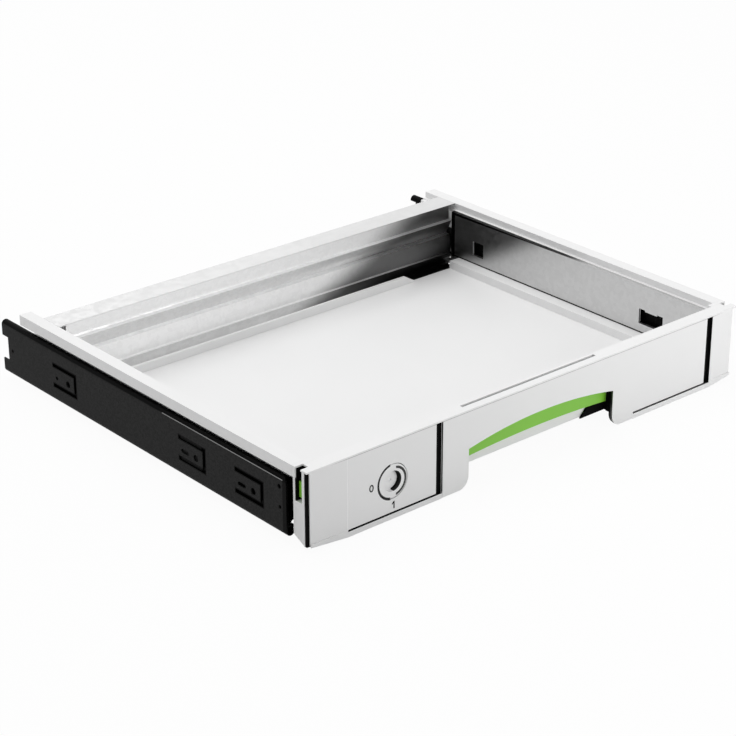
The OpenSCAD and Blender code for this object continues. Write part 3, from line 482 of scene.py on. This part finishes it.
# %% Plastic finishes
WHITE = {"Colour": grey(0.86), "Grain per mm": 1.6, "Mottle": 0.02, "Roughness": 0.42}
BLACK = {"Colour": grey(0.003), "Grain per mm": 1.2, "Mottle": 0.2, "Roughness": 0.55}
GREEN = {"Colour": (0.23, 0.6, 0.045, 1), "Grain per mm": 1.5, "Mottle": 0.06, "Roughness": 0.38}
WHITE_BUMP, BLACK_BUMP, GREEN_BUMP = 0.12, 0.15, 0.1
DULL, SATIN = {"Specular IOR Level": 0.02}, {"Specular IOR Level": 0.03}
white_plastic = finish("white_plastic", GRAIN, WHITE, WHITE_BUMP)
black_plastic = finish("black_plastic", GRAIN, BLACK, BLACK_BUMP, **DULL)
green_plastic = finish("green_plastic", GRAIN, GREEN, GREEN_BUMP)
print("plastics:", [made.name for made in (white_plastic, black_plastic, green_plastic)])


# %% Metal finishes
def zinc(colour, crystals, contrast, roughness):
    """Values of the zinc spangle group, for one metal."""
    return {"Colour": colour, "Crystal per m": crystals, "Contrast": contrast,
            "Roughness": roughness}


SHEET = zinc(grey(0.8), 300.0, 0.045, 0.38)
SLIDE = zinc(grey(0.016), 900.0, 0.12, 0.42)
# Near black: a painted shade where the cages show through the slots of the slides.
CAGE = zinc(grey(0.01), 1200.0, 0.1, 0.4)
SCREW = zinc((0.66, 0.67, 0.68, 1), 1500.0, 0.1, 0.28)
BALL = zinc(grey(0.75), 2500.0, 0.05, 0.12)
SPRING = zinc((0.25, 0.27, 0.33, 1), 1500.0, 0.2, 0.3)
SHEET_BUMP, SMALL_BUMP, SPRING_BUMP, BALL_BUMP = 0.05, 0.03, 0.02, 0.01
METAL = {"Metallic": 1.0}
cage_steel = finish("cage_steel", SPANGLE, CAGE, SMALL_BUMP, **DULL)
bright_zinc = finish("bright_zinc", SPANGLE, SCREW, SMALL_BUMP, **METAL)
ball_steel = finish("ball_steel", SPANGLE, BALL, BALL_BUMP, **METAL)
spring_steel = finish("spring_steel", SPANGLE, SPRING, SPRING_BUMP, **METAL)
print("metals:", [made.name for made in (cage_steel, bright_zinc, ball_steel, spring_steel)])

# %% [markdown]
# ### Finishes of single pieces
# Narrow gaps read as black lines in the photograph: round the lock, over the lip, along the
# foot of the side plates, in the grooves, at the rear corner and round the tongues of the
# slides. Their shade is painted into the colour of the pieces. The sheet of the rear wall and
# the right plate carries a soft slanted painted shade, the right plate is painted a darker grey
# for the shade on it, and a pale line on the left end cap and a thin line on the slides are
# painted highlights. Each finish could have a painted texture, but a finish from above with
# masks laid over its colour, one after the other, stays sharp from close by.

# %% Helpers for masks, in mm, with the depth from the front
# Black laid over colours: painted shade in gaps, slots and corners, and the darker edges and front
# ends of the slides.
DARK = grey(0.002)


def inside(low, high, colour=DARK):
    """A colour inside a box between two corners."""
    low, high = (from_front(*corner) for corner in (low, high))
    return (BOX, {"Centre": (low + high) / 2, "Half size": (high - low) / 2}, colour)


def right_across(half_width, depths, heights, colour=DARK):
    """A colour inside a box that reaches as far to the left as to the right."""
    return inside((-half_width, depths[0], heights[0]), (half_width, depths[1], heights[1]), colour)


def slanted(direction, facing, start, end, colour):
    """A colour that comes in softly along a direction, between two distances."""
    shift = direction[1] * front_y
    return (SLANT, {"Direction": direction, "Facing": facing, "Start": start * MM + shift,
                    "End": end * MM + shift}, colour)


# %% Helper: rings round the lock, in mm
lock_low, lock_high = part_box("lock_barrel")
lock_x, lock_z = (lock_low.x + lock_high.x) / 2 / MM, (lock_low.z + lock_high.z) / 2 / MM
lock_r = (lock_high.x - lock_low.x) / 2 / MM
ALL_WIDTH = 100.0


def ring(inner, outer, shift=(0.0, 0.0), from_x=-ALL_WIDTH, to_x=ALL_WIDTH, colour=DARK):
    """A ring round the lock's axis, or the part of it between two places."""
    return (RING, {
        "Centre X": (lock_x + shift[0]) * MM, "Centre Z": (lock_z + shift[1]) * MM,
        "Inner radius": inner * MM, "Outer radius": outer * MM,
        "From X": from_x * MM, "To X": to_x * MM}, colour)


print("lock at", round(lock_x, 1), round(lock_z, 1), "mm, radius", round(lock_r, 2))

# %% Painted shade in the gaps round the lock
GAP_LEFT_TO = -2.2
# Painted shade on the right wall of the lock's pocket; outside the pocket the face stays white.
pocket_shade = ring(7.2, 12, shift=(-0.8, 0.2), from_x=1.5)
face_again = ring(8.03, 14, colour=WHITE["Colour"])
# Painted shade in the gap round the lock on its left, and on an arc inside its right edge.
gap_shade_left = ring(lock_r - 0.8, lock_r + 1, to_x=GAP_LEFT_TO)
gap_shade_right = ring(9.9, 11.8, shift=(1.0, -0.5), from_x=2.0)
# Painted shade on the wall of the label cover's hole, left of the lock.
hole_shade_left = ring(0, lock_r + 1.2, to_x=GAP_LEFT_TO)
print("gap left of the lock:", round(lock_r - 0.8, 1), "to", round(lock_r + 1, 1), "mm from its axis")

# %% Painted shade in straight gaps of the front and the rims
FRONT_HALF, CUT_OUT_END, GROOVE_TOP = 217, 80, 61.2
SKIN, LIP_GAP = (-1, 3), (4.12, 5.9)
RIM_MIDDLE, RIM_GAP_HALF = 202.9, 2.1
cover_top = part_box("main_cover")[1].z / MM
# Painted shade: a grey line along the seam just under the top edge of the covers.
seam_shade = right_across(FRONT_HALF, SKIN, (cover_top - 0.3, cover_top + 0.1), grey(0.45))
# Painted shade on the side wall at the cut-out's right end, and in the two grooves of the front.
cut_out_shade = inside((CUT_OUT_END, 0.35, -1), (92, 2.5, 39))
groove_shade_left = inside((-95.3, 0.2, 5), (-94.6, 1.25, GROOVE_TOP))
groove_shade_right = inside((191.2, 0.2, 4), (192.1, 2.5, GROOVE_TOP))
# A painted highlight: a pale line on the left end cap's edge at the label cover.
fold_highlight = inside((-184.3, -1, 5), (-183.2, 1, 60.9), grey(0.98))
# Painted shade in the gap over the lip: black left of the cut-out's end, dark grey right of it.
lip_shade_left, lip_shade_right = (
    inside((start, SKIN[0], LIP_GAP[0]), (end, SKIN[1], LIP_GAP[1]), colour)
    for start, end, colour in ((-183.5, CUT_OUT_END, DARK), (CUT_OUT_END, 191.8, grey(0.2))))
# Behind the right part of that gap the black carrier is painted dark grey.
carrier_gap_grey = inside((CUT_OUT_END, 0, 3), (185.2, 4, 6), grey(0.1))
liner_top = inside((200, 0, 54), (225, 20, 62), grey(0.55))
# Painted shade in the rear corners, on the rims beside the ends of the side plates.
rim_corner_shade = [inside((x - RIM_GAP_HALF, 314, 8), (x + RIM_GAP_HALF, 323.2, 41))
            for x in (RIM_MIDDLE, -RIM_MIDDLE)]
print("gap over the lip at", LIP_GAP, "mm, top of the covers at", round(cover_top, 1), "mm")


# %% White and black pieces with their painted shade and highlights
def white(name, painted_light):
    return finish(name, GRAIN, WHITE, WHITE_BUMP, darkened=painted_light)


def black(name, painted_light):
    return finish(name, GRAIN, BLACK, BLACK_BUMP, darkened=painted_light, **DULL)


# Each list holds the painted shade and highlights laid over one piece's colour.
OWN_FINISH = {
    "lock_barrel": white("lock_white", [pocket_shade, face_again, gap_shade_left, gap_shade_right]),
    "label_cover": white("label_white", [hole_shade_left, seam_shade]),
    "main_cover": white("cover_white", [seam_shade, cut_out_shade, groove_shade_left]),
    "end_cap_left": white("cap_white", [seam_shade, groove_shade_right, fold_highlight]),
    "front_frame": white("frame_white", [lip_shade_left, lip_shade_right]),
    "front_carrier": black("carrier_black", [carrier_gap_grey]),
    "rim_left": white("rim_white", rim_corner_shade),
    # The black liner stands for the shade in the right latch channel; its top is painted a lighter
    # grey.
    "channel_liner_right": black("liner_black", [liner_top]),
}
OWN_FINISH["end_cap_right"] = OWN_FINISH["end_cap_left"]
OWN_FINISH["rim_right"] = OWN_FINISH["rim_left"]
print("own finishes:", sorted(OWN_FINISH))

# %% Bare sheet with its painted shades
# Places in mm beyond the outer side of the slides and beyond their rear end.
OUTSIDE, BEHIND = 230, 400
TO_FRONT, TO_LEFT = (0.0, -1.0, 0.0), (-1.0, 0.0, 0.0)
TO_FRONT_AND_UP, TO_LEFT_AND_UP = (0.0, -1.0, 1.0), (-1.0, 0.0, 1.0)
# Painted shade: a black line along the foot of the side plates, just above the shelf.
foot_shade_line = right_across(205, (10, 320), (15.9, 17.1))
# Painted shade: a black line just under the right plate's top edge.
top_shade_line = slanted((0.0, 0.016, 1.0), TO_LEFT_AND_UP, 59.3, 59.8, DARK)
wall_top = right_across(OUTSIDE, (317, 345), (61.3, 63), grey(0.7))
# Painted shade on the rear wall's front faces, soft and slanted in the right corner, and near black
# at its foot there.
wall_shade = slanted((1.0, 0.0, -2.1), TO_FRONT, -15, 55, grey(0.14))
foot_shade = slanted((1.0, 0.0, -6.0), TO_FRONT_AND_UP, 0, 110, grey(0.02))
# Painted shade towards the right plate's rear top, and black along its rear end.
plate_shade = slanted((0.0, 1.0, 1.9), TO_LEFT, 300, 345, grey(0.15))
plate_corner_shade = inside((200, 310.5, 15), (205, 316, 58))


def bare_sheet(name, values, shades):
    return finish(name, SPANGLE, values, SHEET_BUMP, darkened=shades, **METAL)


galvanised_sheet = bare_sheet("left_sheet", SHEET, [foot_shade_line])
OWN_FINISH["rear_wall"] = bare_sheet("rear_sheet", SHEET, [wall_top, wall_shade, foot_shade])
# The right plate is the same sheet, painted a darker grey for the shade on its inner face.
OWN_FINISH["side_plate_right"] = bare_sheet("right_sheet_shaded", dict(SHEET, Colour=grey(0.62)), [
    plate_shade, foot_shade_line, top_shade_line, plate_corner_shade])
print("foot line and shades on", OWN_FINISH["rear_wall"].name, OWN_FINISH["side_plate_right"].name)

# %% Painted shade in the slots round the tongues of the slides
# Where each tongue starts, its length and half height, a slot's width, and the width of the
# painted shade round a slot.
TONGUES, TONGUE_LENGTH, TONGUE_HALF, SLOT, EDGE = (46.0, 113.0, 278.0), 32.0, 10.0, 3.0, 0.8
slide_low, slide_high = (corner.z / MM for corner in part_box("cabinet_member_left"))
slide_mid = (slide_low + slide_high) / 2


def slot_shade_round(start):
    """Painted shade: black over the upper, the lower and the front slot of a tongue, and round them.
    """
    end = start + TONGUE_LENGTH
    slots = ((end, TONGUE_HALF - SLOT, TONGUE_HALF), (end, -TONGUE_HALF, SLOT - TONGUE_HALF),
             (start + SLOT, -TONGUE_HALF, TONGUE_HALF))
    return [right_across(OUTSIDE, (start - EDGE, back + EDGE),
                         (slide_mid + low - EDGE, slide_mid + high + EDGE))
            for back, low, high in slots]


# %% Black steel of the slides
WEB_FACE, FRONT_END, LIT_TO = 220, 24.5, 165
upper_edge = right_across(OUTSIDE, (-1, BEHIND), (slide_high - 2.3, slide_high + 1))
lower_edge = right_across(OUTSIDE, (-1, BEHIND), (slide_low - 1, slide_low + 1.6))
slide_front = right_across(OUTSIDE, (0, FRONT_END), (slide_low, slide_high))
# Painted shade on all that lies inward of the cabinet member's web, so the slots read black.
inner_member_shade = right_across(WEB_FACE, (0, BEHIND), (slide_low, slide_high))
# A painted highlight: a thin lighter line just under the upper raceway, in its front part.
raceway_highlight = right_across(OUTSIDE, (FRONT_END, LIT_TO), (slide_high - 2.7, slide_high - 2.1), grey(0.3))
black_steel = finish("black_steel", SPANGLE, SLIDE, SHEET_BUMP, darkened=[
    upper_edge, lower_edge, *(slot for start in TONGUES for slot in slot_shade_round(start)),
    slide_front, inner_member_shade, raceway_highlight], **SATIN)
print("slides:", round(slide_high - slide_low, 1), "mm high,", len(TONGUES), "tongues each")

# %% Give every node its finish
SLOT_FINISH = {
    "white_plastic": white_plastic, "black_plastic": black_plastic, "green_plastic": green_plastic,
    "black_steel": black_steel, "galvanised_sheet": galvanised_sheet, "cage_steel": cage_steel,
    "ball_steel": ball_steel, "screw_steel": bright_zinc, "spring_steel": spring_steel,
}
for part in frame["record"]["subparts"]:
    own = OWN_FINISH.get(part["node"], SLOT_FINISH[part["material_slot"]])
    for piece in {nodes[part["node"]], shown[part["node"]]}:
        piece.data.materials.clear()
        piece.data.materials.append(own)

# %% [markdown]
# ## Bottom of the card slot
# The slot in the front rim holds a name card. It is shallow on the real rim and looks an even
# grey. The CAD slot goes through the wall, so a thin strip closes it from below. The strip is
# the rim's white painted grey, for the shade in the shallow slot. It could be a card standing
# in the slot, but the photograph shows an empty one.


# %% Helper: a new piece from mesh work
def mesh_piece(name, work, material):
    """Turns mesh work into an object with one material."""
    mesh = bpy.data.meshes.new(name)
    work.to_mesh(mesh)
    work.free()
    mesh.materials.append(material)
    return new_object(name, mesh)


# %% Strip under the slot
STRIP_MIDDLE, STRIP_SIZE, STRIP_BUMP = (-2, 8.0, 61.0), (138, 3.1, 0.4), 0.1
# Painted shade: the rim's white, darkened to grey for the shade in the slot.
slot_shaded_white = finish("slot_shaded_white", GRAIN, dict(WHITE, Colour=grey(0.5)), STRIP_BUMP)
work = bmesh.new()
bmesh.ops.create_cube(work, size=1.0)
for vert in work.verts:
    vert.co = from_front(*(middle + size * share for middle, size, share
                           in zip(STRIP_MIDDLE, STRIP_SIZE, vert.co)))
strip = mesh_piece("card_slot_floor", work, slot_shaded_white)
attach(strip, "drawer")
print("strip:", [round(size / MM, 1) for size in strip.dimensions])

# %% [markdown]
# ## Marks beside the lock
# Raised marks show the lock's two positions. Plain numbers stand there: 0 for open and 1 for
# shut. They could be painted by a texture, but small solids keep crisp edges close up. Each
# number is a closed prism that sits a twentieth of a millimetre deep in the cover.

# %% Helper: a number as a solid
MARK_FRONT, MARK_BACK, INK_BUMP = -0.12, 0.05, 0.05
INK = {"Colour": grey(0.02), "Grain per mm": 3.0, "Mottle": 0.1, "Roughness": 0.5}
mark_ink = finish("mark_ink", GRAIN, INK, INK_BUMP, **DULL)


def number(name, loops, x, z):
    """A prism from an outline, or from an outline and a hole with as many points."""
    work = bmesh.new()
    rings = [[work.verts.new(from_front(x + right, depth, z + up)) for right, up in loop]
             for depth in (MARK_FRONT, MARK_BACK) for loop in loops]
    if len(loops) == 2:
        order = [rings[0], rings[1], rings[3], rings[2]]
        pairs = [(order[k - 1], order[k]) for k in (1, 2, 3, 0)]
    else:
        pairs = [(rings[0], rings[1])]
        work.faces.new(rings[0])
        work.faces.new(rings[1])
    for one, two in pairs:
        for k in range(len(one)):
            work.faces.new((one[k - 1], one[k], two[k], two[k - 1]))
    bmesh.ops.recalc_face_normals(work, faces=work.faces)
    piece = mesh_piece(name, work, mark_ink)
    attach(piece, "drawer")


# %% Numbers
MARK_HIGH, MARK_WIDE, STROKE, OVAL_POINTS = 5.8, 4.0, 0.95, 40
FLAG_START, FLAG_OUT, FLAG_DROP, FLAG_THICK = 0.1, 1.4, 1.5, 1.1


def oval(wide, high):
    """The points of an oval, all the way round."""
    turns = [2 * math.pi * k / OVAL_POINTS for k in range(OVAL_POINTS)]
    return [(wide / 2 * math.cos(turn), high / 2 * math.sin(turn)) for turn in turns]


zero_place, one_place = (lock_x - 19.8, lock_z + 1.0), (lock_x + 0.6, lock_z - 18.8)
top = MARK_HIGH / 2
zero = [oval(MARK_WIDE, MARK_HIGH), oval(MARK_WIDE - 2 * STROKE, MARK_HIGH - 2 * STROKE)]
one = [[(0, -top), (STROKE, -top), (STROKE, top), (FLAG_START, top), (-FLAG_OUT, top - FLAG_DROP),
        (-FLAG_OUT, top - FLAG_DROP - FLAG_THICK), (0, top - FLAG_DROP)]]
number("mark_0", zero, *zero_place)
number("mark_1", one, *one_place)
print("numbers:", MARK_HIGH, "mm high")

# %% [markdown]
# ## Softened edges
# CAD edges are perfectly sharp, and real mouldings and pressings never are. A narrow bevel
# catches a line of light. A Bevel modifier leaves the CAD mesh as it is, and is limited by
# angle, so that only true edges are rounded.

# %% Bevels
BEVEL_STEPS, TRUE_EDGE = 2, math.radians(40)
EDGE_WIDTHS = {
    0.2: ("latch_bar_left", "latch_bar_right"),
    0.25: ("main_cover", "label_cover", "end_cap_right", "lock_barrel", "grip_handle"),
    0.3: ("front_frame", "corner_block_left", "corner_block_right", "rim_left", "rim_right", "tray"),
    0.7: ("end_cap_left",),
}
for width_mm, names in EDGE_WIDTHS.items():
    for name in names:
        bevel = shown[name].modifiers.new("soft_edges", "BEVEL")
        bevel.width, bevel.segments = width_mm * MM, BEVEL_STEPS
        bevel.limit_method, bevel.angle_limit = "ANGLE", TRUE_EDGE
print("softened:", {width: len(names) for width, names in EDGE_WIDTHS.items()})

# %% [markdown]
# ## Studio
# The floor is one large sheet of paper, and the world behind it is as white. To the camera
# both are plain white, while the light that the paper throws back on the drawer stays that of
# a matt surface. A brighter lamp could whiten the paper too, but would bleach the drawer. A
# little of the paper's real shading is left in, so the drawer keeps a faint shadow.


# %% Helper: rays that see the background
def background_share(tree, share):
    """The share for rays from the camera and for mirrored and passing rays, 0 for the rest."""
    path = add(tree, "ShaderNodeLightPath").outputs
    seen = maths(tree, "ADD", path["Is Camera Ray"], path["Is Glossy Ray"])
    seen = maths(tree, "ADD", seen, path["Is Transmission Ray"], use_clamp=True)
    return maths(tree, "MULTIPLY", seen, share)


# %% Floor
FLOOR_SIZE, FLOOR_GAP = 8, 0.5 * MM
SPECKS_PER_M, WHITENED = 40.0, 0.95
bpy.ops.mesh.primitive_plane_add(size=FLOOR_SIZE, location=(0, 0, cad_low.z - FLOOR_GAP))
floor = bpy.context.object
floor.name = "floor"
paper = bpy.data.materials.new("paper")
paper.use_nodes = True
tree = paper.node_tree
tree.nodes.clear()
speck = add(tree, "ShaderNodeTexNoise", {"Scale": SPECKS_PER_M})
tint = mix_colour(tree, speck.outputs["Fac"], grey(0.8), grey(0.82))
matt = add(tree, "ShaderNodeBsdfDiffuse", {"Color": tint})
glow = add(tree, "ShaderNodeEmission", {"Color": grey(1.0), "Strength": 1.0})
both = add(tree, "ShaderNodeMixShader", {
    "Fac": background_share(tree, WHITENED), 1: matt.outputs[0], 2: glow.outputs[0]})
add(tree, "ShaderNodeOutputMaterial", {"Surface": both.outputs[0]})
floor.data.materials.append(paper)
print("floor:", FLOOR_SIZE, "m across")

# %% [markdown]
# The light that the world gives isn't even. It is dimmer at the front left and brighter over
# the rear right, so that each side of the drawer has its own shade, as in a studio with one
# white wall. More lamps could do that, but a smooth change leaves no edges in the metal.

# %% World
BRIGHT_SIDE, TURNED_RANGE, DIM, BRIGHT = (0.12, 0.62, 0.72), (-0.5, 0.9), 0.13, 0.72
world = bpy.data.worlds.new("studio")
bpy.context.scene.world = world
world.use_nodes = True
tree = world.node_tree
tree.nodes.clear()
way = add(tree, "ShaderNodeTexCoord").outputs["Generated"]
level = ramp(tree, vector_maths(tree, "DOT_PRODUCT", way, BRIGHT_SIDE), *TURNED_RANGE, DIM, BRIGHT)
white_wall = add(tree, "ShaderNodeBackground", {"Color": grey(1.0), "Strength": 1.0})
room = add(tree, "ShaderNodeBackground", {"Color": grey(1.0), "Strength": level})
both = add(tree, "ShaderNodeMixShader", {
    "Fac": background_share(tree, 1.0), 1: room.outputs[0], 2: white_wall.outputs[0]})
add(tree, "ShaderNodeOutputWorld", {"Surface": both.outputs[0]})
print("world light from", DIM, "to", BRIGHT)

# %% [markdown]
# ## Lights
# A large soft box over and behind the drawer lights the tops, the rear ones most. A smaller
# one stands close to the right end of the front, a little above the floor, so that the front
# grows brighter from left to right, as in the photograph, and the tops hardly change. Point
# lamps would be simpler, but throw hard shadows.


# %% Lights
def soft_box(name, place, aim, size, watts):
    """A square area lamp at a place, turned to a point, in metres."""
    lamp = bpy.data.lights.new(name, "AREA")
    lamp.shape, lamp.size, lamp.energy = "SQUARE", size, watts
    holder = new_object(name, lamp)
    holder.location = place
    holder.rotation_euler = (Vector(aim) - Vector(place)).to_track_quat("-Z", "Y").to_euler()


soft_box("over", place=(0, 0.6, 1.6), aim=(0, 0, 0), size=1.6, watts=15.5)
soft_box("front_right", place=(0.32, -0.8, 0.2), aim=(0.15, -0.19, 0.03), size=0.4, watts=2.0)

# %% [markdown]
# ## Closing steps
# The view transform is set to Standard, so a colour renders about as it is written. The
# numbers beside the lock stand about a tenth of a millimetre out of the cover.

# %% View transform
bpy.context.scene.view_settings.view_transform = "Standard"
